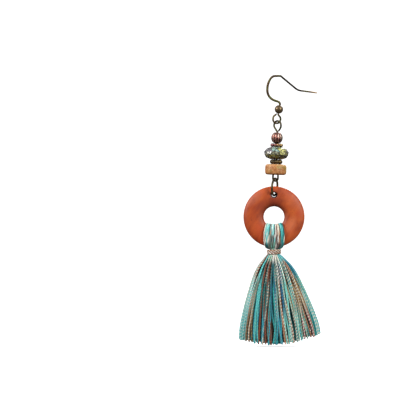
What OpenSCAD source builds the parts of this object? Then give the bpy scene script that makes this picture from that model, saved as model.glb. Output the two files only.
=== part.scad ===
/* [Ear hook] */
// Thickness of the hook's wire
hook_wire_d = 0.8; // [0.7:0.05:0.9]
// Flat run at the top, in front of the ear
top_front = 1.4; // [1:0.1:2]
// Radius of the bend at the top of the ear, to the middle of the wire
ear_bend_r = 2.3; // [1.9:0.1:3]
// Turn of the bend at the top of the ear, in degrees
ear_bend_turn = 66; // [60:1:72]
// Radius of the slight bend down the front
side_bend_r = 10; // [8:0.5:13]
// Straight run down the front
side_run = 0.5; // [0.1:0.1:1.5]
// Radius of the long bend that brings the wire back over the drop
front_bend_r = 4.3; // [3.8:0.1:5]
// Turn of the long front bend, in degrees
front_bend_turn = 72; // [66:1:78]
// Straight run at the foot of the front bend
foot_run = 1.5; // [1:0.1:2.2]
// Radius of the small bend down into the ball
foot_bend_r = 1.1; // [0.9:0.05:1.4]
// Turn of the small bend, in degrees
foot_bend_turn = 84; // [76:1:88]
// Wire that shows between the small bend and the ball
ball_lead = 0.2; // [0.1:0.05:0.6]
// Flat run at the top, behind the ear
top_back = 0.7; // [0.4:0.1:1.2]
// Radius of the bend behind the ear
back_bend_r = 1; // [0.8:0.1:2]
// Turn of the bend behind the ear, in degrees
back_bend_turn = 40; // [34:1:46]
// Straight run behind the ear
back_run = 7.5; // [6:0.1:10]
// Radius of the bend that lifts the tail
tail_bend_r = 4.5; // [3:0.1:6]
// Turn of the bend that lifts the tail, in degrees
tail_bend_turn = 33; // [24:1:38]
// Straight run at the tail
tail_run = 6.8; // [5:0.1:9]
// Thickness of the wire at the tail's tip
tail_tip_d = 0.6; // [0.5:0.05:0.7]
// Outer diameter of the hook's eye
hook_eye_d = 4.2; // [3.8:0.1:4.8]
// How far the hook's eye is turned out of the hook's plane, its left side forwards, in degrees
hook_eye_turn = 24; // [16:1:36]
// How far each side of the hook's eye spreads from the stem, in degrees
hook_eye_spread = 55; // [48:1:62]
// Diameter of the ball above the eye
ball_d = 3.5; // [3:0.1:4]

/* [Eye pin] */
// Thickness of the pin's wire
pin_wire_d = 0.76; // [0.66:0.02:0.8]
// Outer diameter of the pin's upper eye
pin_eye_d = 4.2; // [3.8:0.1:4.8]
// How far the pin's upper eye is turned, its right side forwards, in degrees
pin_eye_turn = 36; // [24:1:46]
// How far each side of the pin's upper eye spreads from the stem, in degrees
pin_eye_spread = 39; // [34:1:46]
// Outer width of the loop at the pin's foot
foot_eye_d = 2.9; // [2.7:0.1:3.2]
// Straight legs of the loop below the last bead
foot_legs = 1.4; // [1:0.1:2]
// How far the loop is turned, its right side forwards, in degrees
foot_eye_turn = 15; // [5:1:25]
// Wire that shows between the upper eye and the first bead
neck_run = 0.2; // [0.1:0.05:0.8]
// Lean of the pin with its foot to the left, in degrees
pin_lean = 2.2; // [0:0.2:4]
// How far right of the hook's eye the pin hangs
pin_shift = 0.4; // [0:0.05:0.5]

/* [Beads] */
// Diameter of the fluted copper bead
copper_d = 4.85; // [4.2:0.05:5.6]
// Height of the fluted copper bead
copper_h = 4.4; // [3.8:0.1:4.6]
// Flutes round the copper bead
flutes = 12; // [8:1:14]
// Depth of a flute
flute_depth = 0.42; // [0.1:0.02:0.5]
// Diameter of the upper spacer
upper_spacer_d = 5.2; // [4.6:0.1:6]
// Height of the upper spacer
upper_spacer_h = 1.45; // [1.2:0.05:1.7]
// Grains round the upper spacer
upper_grains = 10; // [8:1:11]
// Diameter of the faceted glass bead
glass_d = 10.1; // [9:0.1:11]
// Height of the faceted glass bead
glass_h = 5; // [4:0.1:6]
// Facets in each row of the glass bead
glass_facets = 10; // [8:1:12]
// Diameter of the lower spacer
lower_spacer_d = 5.3; // [4.7:0.1:6]
// Height of the lower spacer
lower_spacer_h = 1.95; // [1.5:0.05:2.1]
// Grains round the lower spacer
lower_grains = 9; // [7:1:10]
// Diameter of the wooden bead
wood_bead_d = 8.75; // [7.5:0.05:10]
// Height of the wooden bead
wood_bead_h = 4.3; // [3.2:0.05:5]

/* [Wooden ring] */
// Outer diameter of the wooden ring
ring_d = 25; // [23:0.5:28]
// Diameter of the ring's eye
ring_eye_d = 8.4; // [7.6:0.2:10]
// Thickness of the wooden ring
ring_t = 3.4; // [3.2:0.1:4]
// Distance of the drilled hole's middle from the ring's rim
hole_in = 3.5; // [3.2:0.1:3.8]
// Thickness of the jump ring's wire
jump_wire_d = 0.9; // [0.76:0.02:0.96]
// Outer diameter of the jump ring
jump_d = 7.8; // [7.4:0.1:8.8]
// How far the jump ring is turned out of the wooden ring's plane, its left side forwards, in degrees
jump_turn = 70; // [66:1:78]
// Lean of the jump ring with its foot to the left, in degrees
jump_lean = 4.6; // [0:0.2:6]

/* [Tassel] */
// Greatest width of the band of thread round the wooden ring
band_w = 8.9; // [7.5:0.1:10]
// Thickness of the band
band_t = 1.25; // [0.9:0.05:1.5]
// Locks of thread side by side in the band
band_locks = 7; // [6:1:9]
// Diameter of the thread's neck inside the tie
neck_d = 4; // [3.6:0.1:4.6]
// Distance of the tie's top below the wooden ring
tie_drop = 0.6; // [0.5:0.1:1.2]
// Thickness of the thread that ties the neck
tie_thread_d = 0.85; // [0.7:0.05:1]
// Turns of the tie
tie_turns = 3; // [2:1:4]
// Length of the skirt below the tie
skirt_l = 36.3; // [28:0.5:48]
// Width of the skirt at its hem
skirt_w = 33.6; // [26:0.5:40]
// Depth of the skirt at its hem
skirt_t = 20; // [15:0.5:26]
// How far right of the tie the hem's middle lies
skirt_shift = 2.4; // [0:0.2:4]
// Locks of thread round the skirt
skirt_locks = 22; // [18:1:26]
// Thickness of one lock near the hem
skirt_lock_d = 4.6; // [3.8:0.1:5.4]

/* [Clearances] */
// Gap between linked wires at rest
link_gap = 0.15; // [0.1:0.01:0.2]
// Gap between one bead and the next along the pin
bead_gap = 0.05; // [0.04:0.01:0.1]
// Gap round a wire inside a bead
bore_gap = 0.1; // [0.06:0.02:0.14]
// Extra thickness of the pin's wire where its eyes are bent
eye_swell = 0.04; // [0.03:0.01:0.06]
// Gap between the jump ring and the edge of the drilled hole
hole_gap = 0.18; // [0.15:0.01:0.25]
// Gap between the thread and what it is wound on
thread_gap = 0.15; // [0.1:0.05:0.25]

/* [Hidden] */
$fn = 32;
TORUS_FN = 64;
TURNED_FN = 96;

// Colours as the photograph shows them
BRONZE = [0.33, 0.29, 0.2];
COPPER = [0.55, 0.31, 0.24];
SPACER_COPPER = [0.62, 0.42, 0.29];
DARK_BRONZE = [0.3, 0.25, 0.2];
GLASS = [0.52, 0.55, 0.36];
PALE_WOOD = [0.78, 0.55, 0.36];
RED_WOOD = [0.72, 0.33, 0.19];
AQUA_THREAD = [0.56, 0.72, 0.72];
TIE_THREAD = [0.75, 0.57, 0.47];
TEAL_THREAD = [0.2, 0.55, 0.6];

// A bent wire lies in an upright plane. It is a list of steps, each a straight run or a bend to the left.
RUN = 0;
RADIUS = 1;
TURN = 2;
function run(l) = [l, 0, 0];
function bend(r, turn) = [0, r, turn];

// A pose on a wire is the middle of the wire, across and up, and the heading in degrees
ACROSS = 0;
UP = 1;
HEADING = 2;
QUARTER = 90;
FULL_TURN = 360;
LEFTWARDS = 180;
RIGHTWARDS = 0;

function run_end(p, l) = [p[ACROSS] + l * cos(p[HEADING]), p[UP] + l * sin(p[HEADING]), p[HEADING]];
function bend_centre(p, r, turn) =
    [p[ACROSS] - sign(turn) * r * sin(p[HEADING]), p[UP] + sign(turn) * r * cos(p[HEADING])];
function bend_start(p, turn) = p[HEADING] - sign(turn) * QUARTER;
function bend_end(p, r, turn) =
    let (c = bend_centre(p, r, turn), a = bend_start(p, turn) + turn)
    [c[ACROSS] + r * cos(a), c[UP] + r * sin(a), p[HEADING] + turn];
function step_end(p, step) = step[TURN] == 0 ? run_end(p, step[RUN]) : bend_end(p, step[RADIUS], step[TURN]);
function poses(p, steps, i = 0) =
    i == len(steps) ? [p] : concat([p], poses(step_end(p, steps[i]), steps, i + 1));
function last(list) = list[len(list) - 1];
function reversed(list) = [for (i = [len(list) - 1 : -1 : 0]) list[i]];
function total(list, count) = count == 0 ? 0 : list[count - 1] + total(list, count - 1);
function at(p) = [p[ACROSS], 0, p[UP]];

// Poses close together along a bent wire, and hoops of points that stand across it
BEND_STEP = 9;
WIRE_SIDES = 16;
function step_poses(p, step) =
    step[TURN] == 0 ? [p] :
    let (n = ceil(abs(step[TURN]) / BEND_STEP))
    concat([p], [for (k = [1 : n - 1]) bend_end(p, step[RADIUS], step[TURN] * k / n)]);
function wire_poses(start, steps) =
    let (path = poses(start, steps))
    concat([for (i = [0 : len(steps) - 1]) each step_poses(path[i], steps[i])], [last(path)]);
function along(heading, first, second) = cos(heading) * first + sin(heading) * second;
function hoop(centre, way, r) =
    let (side = cross(way, [0, 1, 0]), out = side / norm(side), over = cross(way, out))
    [for (i = [0 : WIRE_SIDES - 1]) centre + r * along(i * FULL_TURN / WIRE_SIDES, out, over)];

// The ear hook: the ear hangs in the bend at the origin, and the wire leads down the front to the ball and eye
HOOK_EYE_R = (hook_eye_d - hook_wire_d) / 2;
EAR_TOP = [0, hook_wire_d / 2];
FRONT_STEPS = [
    run(top_front),
    bend(ear_bend_r, ear_bend_turn),
    bend(side_bend_r, QUARTER - ear_bend_turn),
    run(side_run),
    bend(front_bend_r, front_bend_turn),
    run(foot_run),
    bend(foot_bend_r, -foot_bend_turn)];
TAIL_STEPS = [
    run(top_back),
    bend(back_bend_r, -back_bend_turn),
    run(back_run),
    bend(tail_bend_r, tail_bend_turn),
    run(tail_run)];
FRONT_START = concat(EAR_TOP, LEFTWARDS);
TAIL_START = concat(EAR_TOP, RIGHTWARDS);
FOOT = last(poses(FRONT_START, FRONT_STEPS));
TAIL_END = last(poses(TAIL_START, TAIL_STEPS));
STEM_RUN = ball_lead + ball_d + bead_gap;
BALL_AT = run_end(FOOT, ball_lead + ball_d / 2);

// A teardrop eye: the wire bends aside, runs out, goes round and comes back up beside its own stem. The end is
// laid off the eye's plane by the wire's own thickness, so that it lies behind the stem.
TUCK_SHARE = 0.55;
HALF_TURN = 180;
function tuck_r(d) = TUCK_SHARE * d;
function eye_leg(r, d, spread) = (r * cos(spread) - tuck_r(d) * (1 - cos(spread))) / sin(spread);
function eye_depth(r, d, spread) = (tuck_r(d) + r) * sin(spread) + eye_leg(r, d, spread) * cos(spread);
function eye_tail(r, d, spread) = r / tan(spread) - tuck_r(d);
function eye_steps(r, d, spread) = [
    bend(tuck_r(d), -spread),
    run(eye_leg(r, d, spread)),
    bend(r, HALF_TURN + 2 * spread),
    run(eye_tail(r, d, spread))];
function eye_hoops(start, stem, across, r, d, spread) =
    let (off = cross(stem, across) * (d + link_gap),
        path = wire_poses([0, 0, 0], eye_steps(r, d, spread)),
        end = len(path) - 1,
        arc = r * spread * PI / HALF_TURN,
        arc_share = arc / (arc + eye_tail(r, d, spread)))
    [for (i = [0 : end])
        let (p = path[i], laid_off = i == end ? 1 : arc_share * max(0, p[HEADING] - HALF_TURN) / spread)
        hoop(start + p[ACROSS] * stem + p[UP] * across + laid_off * off,
            along(p[HEADING], stem, across), d / 2)];
HOOK_EYE_AT = run_end(FOOT, STEM_RUN + eye_depth(HOOK_EYE_R, hook_wire_d, hook_eye_spread));

// Lowest point of the middle of the hook's eye, which leans with the stem and is turned about it
STEM_ALONG = [cos(FOOT[HEADING]), 0, sin(FOOT[HEADING])];
EYE_ACROSS = [
    -sin(FOOT[HEADING]) * cos(hook_eye_turn),
    sin(hook_eye_turn),
    cos(FOOT[HEADING]) * cos(hook_eye_turn)];
EYE_DOWN = -(STEM_ALONG[2] * STEM_ALONG + EYE_ACROSS[2] * EYE_ACROSS);
EYE_LOW = at(HOOK_EYE_AT) + HOOK_EYE_R * EYE_DOWN / norm(EYE_DOWN);
DROP_SWING_AT = [EYE_LOW[0], 0, EYE_LOW[2]];

// The drop hangs in a frame of its own, whose origin is the top of the pin's eye and whose Z leans with the pin
PIN_EYE_WIRE_D = pin_wire_d + eye_swell;
PIN_EYE_R = (pin_eye_d - PIN_EYE_WIRE_D) / 2;
FOOT_EYE_R = (foot_eye_d - PIN_EYE_WIRE_D) / 2;
EYE_RISE = HOOK_EYE_R - sqrt(HOOK_EYE_R * HOOK_EYE_R - pin_shift * pin_shift);
DROP_AT = DROP_SWING_AT + [pin_shift, 0, (hook_wire_d + PIN_EYE_WIRE_D) / 2 + link_gap + EYE_RISE];
BEAD_HEIGHTS = [copper_h, upper_spacer_h, glass_h, lower_spacer_h, wood_bead_h];
BEADS_TOP = -(PIN_EYE_R + eye_depth(PIN_EYE_R, PIN_EYE_WIRE_D, pin_eye_spread) + neck_run);
BORE_D = pin_wire_d + 2 * bore_gap;
function bead_z(i) = BEADS_TOP - total(BEAD_HEIGHTS, i) - i * bead_gap - BEAD_HEIGHTS[i] / 2;
BEADS_FOOT = BEADS_TOP - total(BEAD_HEIGHTS, len(BEAD_HEIGHTS)) - len(BEAD_HEIGHTS) * bead_gap;
// The loop at the foot has shoulders inside the last bead and straight legs below it
SHOULDER_SPREAD = 60;
FOOT_TUCK_R = tuck_r(PIN_EYE_WIRE_D);
SHOULDER_RUN = (FOOT_EYE_R - 2 * FOOT_TUCK_R * (1 - cos(SHOULDER_SPREAD))) / sin(SHOULDER_SPREAD);
SHOULDER_H = 2 * FOOT_TUCK_R * sin(SHOULDER_SPREAD) + SHOULDER_RUN * cos(SHOULDER_SPREAD);
LOOP_STEPS = [
    bend(FOOT_TUCK_R, -SHOULDER_SPREAD),
    run(SHOULDER_RUN),
    bend(FOOT_TUCK_R, SHOULDER_SPREAD),
    run(foot_legs),
    bend(FOOT_EYE_R, HALF_TURN),
    run(foot_legs + FOOT_TUCK_R)];
TUCK_BORE_R = foot_eye_d / 2 + bore_gap;
TUCK_BORE_H = SHOULDER_H + bore_gap;
// Foot of the pin, where the jump ring hangs
FOOT_DROP = foot_legs + FOOT_EYE_R - BEADS_FOOT;
RING_SWING_AT = DROP_AT - FOOT_DROP * [sin(pin_lean), 0, cos(pin_lean)];

// The jump ring hangs from the pin's foot and carries the wooden ring by its drilled hole
JUMP_R = (jump_d - jump_wire_d) / 2;
JUMP_TOP = RING_SWING_AT + [0, 0, (PIN_EYE_WIRE_D + jump_wire_d) / 2 + link_gap];
JUMP_LOW = JUMP_TOP - 2 * JUMP_R * [sin(jump_lean), 0, cos(jump_lean)];
// The wire crosses the hole aslant and curves, so the hole is as wide as that takes
HOLE_OFF = ring_t / 2 / tan(jump_turn);
HOLE_HALF = ring_t / 2 / sin(jump_turn);
HOLE_SAG = JUMP_R - sqrt(JUMP_R * JUMP_R - HOLE_HALF * HOLE_HALF);
HOLE_R = sqrt(HOLE_OFF * HOLE_OFF + HOLE_SAG * HOLE_SAG / 4) + jump_wire_d / 2 + hole_gap;
HOLE_AT = JUMP_LOW + [0, 0, HOLE_SAG / 2];

// The wooden ring's round, flattened section
RING_AT = HOLE_AT - [0, 0, ring_d / 2 - hole_in];
SECTION_R = (ring_d + ring_eye_d) / 4;
SECTION_HALF_W = (ring_d - ring_eye_d) / 4;
SECTION_POWER = 2.3;
SECTION_POINTS = 28;
function rounded(a, b, angle) =
    [a * sign(cos(angle)) * pow(abs(cos(angle)), 2 / SECTION_POWER),
     b * sign(sin(angle)) * pow(abs(sin(angle)), 2 / SECTION_POWER)];
RING_FOOT = RING_AT[2] - ring_d / 2;

// The tassel's places, downwards. The tie's turns bed into each other a little.
TIE_INNER_R = neck_d / 2 + thread_gap / 2;
TIE_LAP = 0.94;
TIE_PITCH = tie_thread_d * TIE_LAP;
TIE_H = TIE_PITCH * (tie_turns - 1) + tie_thread_d;
TIE_TOP = RING_FOOT - tie_drop;
TIE_FOOT = TIE_TOP - TIE_H;
NECK_SPLIT = TIE_TOP - TIE_H / 2;

// The band is a ribbon of thread, from the neck up the front of the ring, over its eye's rim and down the back.
// Degrees round the ring's section from the eye, share of the band's width, and how squarely its edge ends
BAND_TURN = 0;
BAND_SPREAD = 1;
BAND_EDGE = 2;
BAND_STATIONS = [
    [0, 0.68, 2],
    [20, 0.73, 2.5],
    [42, 0.82, 3.5],
    [66, 0.94, 4],
    [90, 1, 4],
    [116, 1, 4],
    [140, 0.93, 4]];
// Share of a lock's thickness left at the band's edge and in the valley between two locks
BAND_EDGE_SHARE = 0.18;
BAND_VALLEY_SHARE = 0.84;
function band_share(i) = i / band_locks - 1;
function band_depth(i, edge) =
    band_t * (i % 2 == 0 ? BAND_VALLEY_SHARE : 1)
        * (BAND_EDGE_SHARE + (1 - BAND_EDGE_SHARE) * (1 - pow(abs(band_share(i)), edge)));
function band_point(side, station, i, depth) =
    let (offset = thread_gap + depth,
         round_ring = rounded(SECTION_HALF_W + offset, ring_t / 2 + offset, station[BAND_TURN]),
         x = band_share(i) * station[BAND_SPREAD] * band_w / 2,
         r = SECTION_R - round_ring[0])
    [x, side * round_ring[1], -sqrt(r * r - x * x)];
function band_ring(side, station) = concat(
    [for (i = [0 : 2 * band_locks]) band_point(side, station, i, band_depth(i, station[BAND_EDGE]))],
    [for (i = [2 * band_locks : -1 : 0]) band_point(side, station, i, 0)]);
// The ends of the ribbon are half rounds that meet inside the tie
NECK_SLOT = 0.1;
NECK_EDGE = 0.3;
function neck_ring(side, z) =
    let (shares = [for (i = [0 : 2 * band_locks]) band_share(i)], r = neck_d / 2 - NECK_EDGE)
    concat(
        [for (u = shares) [r * u, side * (r * sqrt(1 - u * u) + NECK_EDGE), z]],
        [for (u = reversed(shares)) [r * u, side * NECK_SLOT * (2 - u * u), z]]);
// Just above the tie the ribbon is still nearly as wide as on the ring
GATHER_WIDE = 0.82;
GATHER_DEEP = 0.36;
GATHER_UP = 0.5;
function gather_ring(side, z) =
    let (shares = [for (i = [0 : 2 * band_locks]) band_share(i)],
        w = GATHER_WIDE * band_w / 2, inner = GATHER_DEEP * ring_t / 2)
    concat(
        [for (u = shares) [w * u, side * (inner + band_t * (BAND_EDGE_SHARE + sqrt(1 - u * u))), z]],
        [for (u = reversed(shares)) [w * u, side * inner, z]]);

// The skirt's outline: shares of its length, of its width, of its depth and of a lock's thickness
SKIRT_DOWN = 0;
SKIRT_WIDE = 1;
SKIRT_DEEP = 2;
SKIRT_LOCK = 3;
SKIRT_STATIONS = [
    [0, 0.19, 0.3, 0.4],
    [0.06, 0.3, 0.39, 0.46],
    [0.14, 0.43, 0.48, 0.56],
    [0.26, 0.56, 0.58, 0.68],
    [0.42, 0.69, 0.7, 0.82],
    [0.62, 0.83, 0.84, 0.96],
    [0.86, 0.965, 0.97, 0.95],
    [1, 1, 1, 0.45]];
// The hem is longest in the middle and shorter to the right
HEM_LIFT = 0.083;
HEM_SLANT = 0.033;
HEM_RAGGED = 0.017;
HEM_WAVE = 137;
CORE_SHARE = 0.86;
CORE_DOWN = 0.94;
LOCK_FN = 8;
CORE_FN = 20;
PAD_H = 0.05;
function hem_share(i, angle) =
    1 - HEM_LIFT * pow(cos(angle), 2) - HEM_SLANT * cos(angle) - HEM_RAGGED * (1 + sin(i * HEM_WAVE));
function lock_r(station) = station[SKIRT_LOCK] * skirt_lock_d / 2;
function lock_point(station, angle, length_share) =
    let (r = lock_r(station))
    [(station[SKIRT_WIDE] * skirt_w / 2 - r) * cos(angle) + skirt_shift * station[SKIRT_DOWN],
     (station[SKIRT_DEEP] * skirt_t / 2 - r) * sin(angle),
     -station[SKIRT_DOWN] * length_share * skirt_l];

// Turns a flat drawing of across and up into the upright plane that faces the viewer
module upright() {
    rotate([QUARTER, 0, 0]) children();
}

// A solid through rings of points, each turning to the left as seen from the far end, closed at both ends.
// The rings of a ribbon go along its outer side and back along its inner side.
module lofted(rings, ribbon = false) {
    n = len(rings[0]);
    top = (len(rings) - 1) * n;
    sides = [for (k = [0 : len(rings) - 2]) for (i = [0 : n - 1])
        let (a = k * n + i, b = k * n + (i + 1) % n)
        each [[a, b + n, b], [a, a + n, b + n]]];
    bottom_end = ribbon
        ? [for (i = [0 : n / 2 - 2]) [i, i + 1, n - 2 - i, n - 1 - i]]
        : [[for (i = [0 : n - 1]) i]];
    top_end = [for (face = bottom_end) [for (i = reversed(face)) top + i]];
    polyhedron(points = [for (ring = rings) each ring], faces = concat(bottom_end, sides, top_end));
}

module torus(r, d) {
    rotate_extrude($fn = TORUS_FN)
        translate([r, 0])
            circle(d = d);
}

// A ring of wire that stands upright, turned about the vertical
module standing_ring(r, d, turn) {
    rotate([0, 0, turn])
        upright()
            torus(r, d);
}

module drop_frame() {
    translate(DROP_AT)
        rotate([0, pin_lean, 0])
            children();
}

module bead_frame(i) {
    drop_frame()
        translate([0, 0, bead_z(i)])
            children();
}

module bead_bore(h) {
    translate([0, 0, -h])
        cylinder(h = 2 * h, d = BORE_D);
}

function sideways(turn) = [cos(turn), sin(turn), 0];
// The hoops of a wire in the other order, each turned over so that it still winds to the left
function reversed_wire(hoops) =
    [for (ring = reversed(hoops))
        [for (i = [0 : WIRE_SIDES - 1]) ring[(WIRE_SIDES / 2 - i + WIRE_SIDES) % WIRE_SIDES]]];

module ear_hook() {
    tail = wire_poses(TAIL_START, TAIL_STEPS);
    front = wire_poses(FRONT_START, FRONT_STEPS);
    tail_hoops = [for (i = [len(tail) - 1 : -1 : 1])
        let (way = -along(tail[i][HEADING], [1, 0, 0], [0, 0, 1]),
            d = hook_wire_d + (tail_tip_d - hook_wire_d) * i / (len(tail) - 1))
        hoop(at(tail[i]), way, d / 2)];
    front_hoops = [for (p = front) hoop(at(p), along(p[HEADING], [1, 0, 0], [0, 0, 1]), hook_wire_d / 2)];
    eye_start = at(run_end(FOOT, STEM_RUN));
    foot_hoops = eye_hoops(eye_start, STEM_ALONG, -EYE_ACROSS, HOOK_EYE_R, hook_wire_d, hook_eye_spread);
    color(BRONZE)
        lofted(concat(tail_hoops, front_hoops, foot_hoops));
}

module hook_ball() {
    color(BRONZE)
        upright()
            translate([BALL_AT[ACROSS], BALL_AT[UP], 0])
                rotate([0, 0, FOOT[HEADING]])
                    rotate([0, QUARTER, 0])
                        difference() {
                            sphere(d = ball_d);
                            translate([0, 0, -ball_d])
                                cylinder(h = 2 * ball_d, d = hook_wire_d + 2 * bore_gap);
                        }
}

module eye_pin() {
    eye_start = [0, 0, BEADS_TOP + neck_run];
    eye = eye_hoops(eye_start, [0, 0, 1], sideways(-pin_eye_turn), PIN_EYE_R, PIN_EYE_WIRE_D, pin_eye_spread);
    loop = [for (p = wire_poses([0, 0, 0], LOOP_STEPS))
        hoop([0, 0, BEADS_FOOT + SHOULDER_H - p[ACROSS]] + p[UP] * sideways(-foot_eye_turn),
            along(p[HEADING], [0, 0, -1], sideways(-foot_eye_turn)), PIN_EYE_WIRE_D / 2)];
    color(DARK_BRONZE)
        drop_frame()
            lofted(concat(reversed_wire(eye), loop));
}

// A round bead whose lobes bulge between narrow flutes
LOBE_POINTS = 6;
LOBE_POWER = 3;
COPPER_ROWS = 11;
COPPER_CUT = 62;

module copper_bead() {
    count = flutes * LOBE_POINTS;
    rings = [for (k = [0 : COPPER_ROWS - 1])
        let (up = COPPER_CUT * (2 * k / (COPPER_ROWS - 1) - 1))
        [for (i = [0 : count - 1])
            let (across_lobe = abs(2 * (i % LOBE_POINTS) / LOBE_POINTS - 1),
                 r = copper_d / 2 - flute_depth * pow(across_lobe, LOBE_POWER),
                 a = i * FULL_TURN / count)
            [r * cos(up) * cos(a), r * cos(up) * sin(a), copper_h / 2 * sin(up) / sin(COPPER_CUT)]]];
    color(COPPER)
        bead_frame(0)
            difference() {
                lofted(rings);
                bead_bore(copper_h);
            }
}

// A ring of soldered grains round a short tube
TUBE_SHARE = 0.7;

module daisy_spacer(d, h, grains) {
    grain_r = (d - h) / 2;
    difference() {
        union() {
            cylinder(h = h * TUBE_SHARE, r = grain_r, center = true);
            for (i = [0 : grains - 1])
                rotate([0, 0, i * FULL_TURN / grains])
                    translate([grain_r, 0, 0])
                        sphere(d = h);
        }
        bead_bore(h);
    }
}

module upper_spacer() {
    color(SPACER_COPPER)
        bead_frame(1)
            daisy_spacer(upper_spacer_d, upper_spacer_h, upper_grains);
}

// Rows of the cut glass: share of the half height, share of the radius, and the turn of its corners in facets
GLASS_ROWS = [
    [1, 0.5, 0],
    [0.72, 0.83, 0.5],
    [0.22, 1, 0],
    [-0.28, 1, 0.5],
    [-0.74, 0.83, 0],
    [-1, 0.5, 0.5]];

module cut_glass(d, h, n) {
    corners = [for (row = GLASS_ROWS) for (i = [0 : n - 1])
        let (a = (i + row[2]) * FULL_TURN / n)
        [row[1] * d / 2 * cos(a), row[1] * d / 2 * sin(a), row[0] * h / 2]];
    belts = [for (row = [0 : len(GLASS_ROWS) - 2]) for (i = [0 : n - 1])
        let (a = row * n, b = a + n, next = (i + 1) % n, ahead = row % 2 == 0)
        each ahead
            ? [[a + i, a + next, b + i], [a + next, b + next, b + i]]
            : [[a + i, a + next, b + next], [a + i, b + next, b + i]]];
    table = [[for (i = [0 : n - 1]) n - 1 - i]];
    culet = [[for (i = [0 : n - 1]) (len(GLASS_ROWS) - 1) * n + i]];
    polyhedron(points = corners, faces = concat(table, belts, culet));
}

module glass_bead() {
    color(GLASS)
        bead_frame(2)
            difference() {
                cut_glass(glass_d, glass_h, glass_facets);
                bead_bore(glass_h);
            }
}

module lower_spacer() {
    color(DARK_BRONZE)
        bead_frame(3)
            daisy_spacer(lower_spacer_d, lower_spacer_h, lower_grains);
}

// Corner rounding of the wooden bead: a straight side and top with a quarter round between them
WOOD_EDGE_POINTS = 5;
WOOD_EDGE_SHARE = 0.25;

module wood_bead() {
    edge = WOOD_EDGE_SHARE * wood_bead_h;
    side = [for (corner = [-1, 1]) for (i = [0 : WOOD_EDGE_POINTS - 1])
        let (a = corner * QUARTER * (corner < 0 ? 1 - i / (WOOD_EDGE_POINTS - 1) : i / (WOOD_EDGE_POINTS - 1)))
        [wood_bead_d / 2 - edge + edge * cos(a), corner * (wood_bead_h / 2 - edge) + edge * sin(a)]];
    color(PALE_WOOD)
        bead_frame(4)
            rotate_extrude($fn = TORUS_FN)
                polygon(concat(
                    [[BORE_D / 2, TUCK_BORE_H - wood_bead_h / 2],
                        [TUCK_BORE_R, TUCK_BORE_H - wood_bead_h / 2],
                        [TUCK_BORE_R, -wood_bead_h / 2]],
                    side, [[BORE_D / 2, wood_bead_h / 2]]));
}

module jump_ring() {
    color(DARK_BRONZE)
        translate(JUMP_TOP)
            rotate([0, jump_lean, 0])
                translate([0, 0, -JUMP_R])
                    standing_ring(JUMP_R, jump_wire_d, jump_turn);
}

module wood_ring() {
    color(RED_WOOD)
        difference() {
            translate(RING_AT)
                upright()
                    rotate_extrude($fn = TURNED_FN)
                        translate([SECTION_R, 0])
                            polygon([for (i = [0 : SECTION_POINTS - 1])
                                rounded(SECTION_HALF_W, ring_t / 2, (i + 0.5) * FULL_TURN / SECTION_POINTS)]);
            translate(HOLE_AT - [0, ring_t, 0])
                rotate([-QUARTER, 0, 0])
                    cylinder(h = 2 * ring_t, r = HOLE_R);
        }
}

module tassel_band() {
    neck_heights = [NECK_SPLIT + thread_gap / 2 - RING_AT[2], TIE_TOP - RING_AT[2]];
    gather_z = TIE_TOP + GATHER_UP * tie_drop - RING_AT[2];
    front = [for (station = reversed(BAND_STATIONS)) band_ring(-1, station)];
    back = [for (k = [1 : len(BAND_STATIONS) - 1]) band_ring(1, BAND_STATIONS[k])];
    color(AQUA_THREAD)
        translate(RING_AT)
            lofted(concat(
                [for (z = neck_heights) neck_ring(-1, z)],
                [gather_ring(-1, gather_z)],
                front,
                back,
                [gather_ring(1, gather_z)],
                [for (z = reversed(neck_heights)) neck_ring(1, z)]), ribbon = true);
}

module tassel_tie() {
    color(TIE_THREAD)
        translate([RING_AT[0], 0, TIE_FOOT + tie_thread_d / 2])
            for (i = [0 : tie_turns - 1])
                translate([0, 0, i * TIE_PITCH])
                    torus(TIE_INNER_R + tie_thread_d / 2, tie_thread_d);
}

module pad(r, fn) {
    cylinder(h = PAD_H, r = r, $fn = fn);
}

module skirt_lock(i) {
    angle = (i + 0.5) * FULL_TURN / skirt_locks;
    length_share = hem_share(i, angle);
    for (k = [0 : len(SKIRT_STATIONS) - 2])
        hull()
            for (station = [SKIRT_STATIONS[k], SKIRT_STATIONS[k + 1]])
                translate(lock_point(station, angle, length_share))
                    pad(lock_r(station), LOCK_FN);
}

module skirt_core() {
    for (k = [0 : len(SKIRT_STATIONS) - 2])
        hull()
            for (station = [SKIRT_STATIONS[k], SKIRT_STATIONS[k + 1]])
                translate([skirt_shift * station[SKIRT_DOWN], 0,
                    -station[SKIRT_DOWN] * CORE_DOWN * (1 - HEM_LIFT) * skirt_l])
                    scale([CORE_SHARE * (station[SKIRT_WIDE] * skirt_w / 2 - lock_r(station)),
                        CORE_SHARE * (station[SKIRT_DEEP] * skirt_t / 2 - lock_r(station)), 1])
                        pad(1, CORE_FN);
}

module tassel_skirt() {
    color(TEAL_THREAD)
        translate([RING_AT[0], 0, TIE_FOOT]) {
            translate([0, 0, -thread_gap]) {
                cylinder(h = NECK_SPLIT - TIE_FOOT + thread_gap / 2, d = neck_d, $fn = CORE_FN);
                skirt_core();
                for (i = [0 : skirt_locks - 1])
                    skirt_lock(i);
            }
        }
}

ear_hook();
hook_ball();
eye_pin();
copper_bead();
upper_spacer();
glass_bead();
lower_spacer();
wood_bead();
jump_ring();
wood_ring();
tassel_band();
tassel_tie();
tassel_skirt();
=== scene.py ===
"""The tassel earring's looks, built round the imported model. Every length is in metres."""
import math
import random

import bmesh
import bpy
from mathutils import Matrix, Vector


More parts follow.
